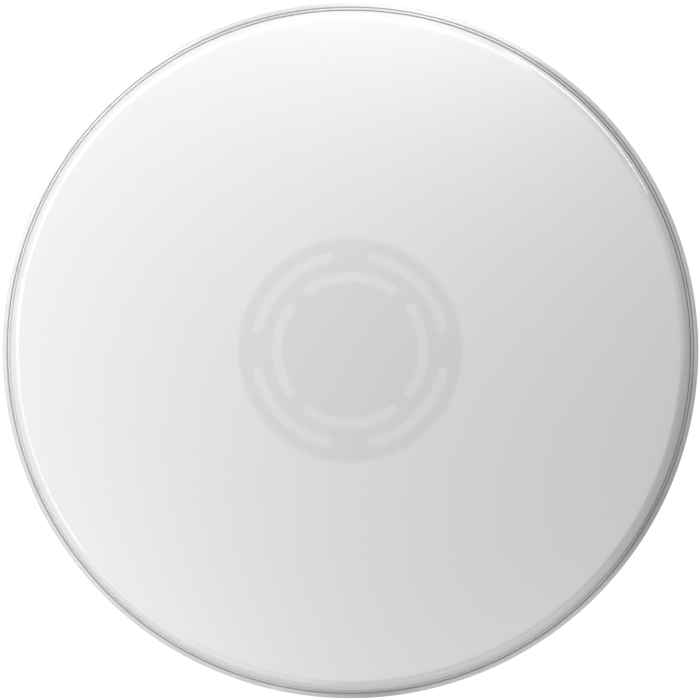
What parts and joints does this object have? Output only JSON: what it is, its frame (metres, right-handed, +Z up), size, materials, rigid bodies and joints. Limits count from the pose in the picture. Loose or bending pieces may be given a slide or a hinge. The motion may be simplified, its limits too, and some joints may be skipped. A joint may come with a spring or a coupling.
{
  "type": "drum head",
  "caption": "Snare drum batter head: a coated plastic film with a formed collar, its edge set in resin in a rolled aluminium hoop, with a slotted damping dot bonded under the centre.",
  "frame": {"origin": "on the head's axis, in the plane of the hoop's underside", "axes": "+Z up out of the playing surface along the head's axis; +X and +Y through the middles of two of the dot's inner slots"},
  "size_m": [0.3689, 0.369, 0.018],
  "materials": {
    "hoop_aluminium": "satin",
    "film": "gloss",
    "resin": "satin",
    "coating": "matte",
    "adhesive": "matte",
    "dot_film": "satin"
  },
  "bodies": {
    "root": {"flesh_hoop": "hoop_aluminium", "drum_film": "film", "hoop_resin": "resin", "film_coating": "coating", "dot_adhesive": "adhesive", "reverse_dot": "dot_film"}
  },
  "joints": []
}
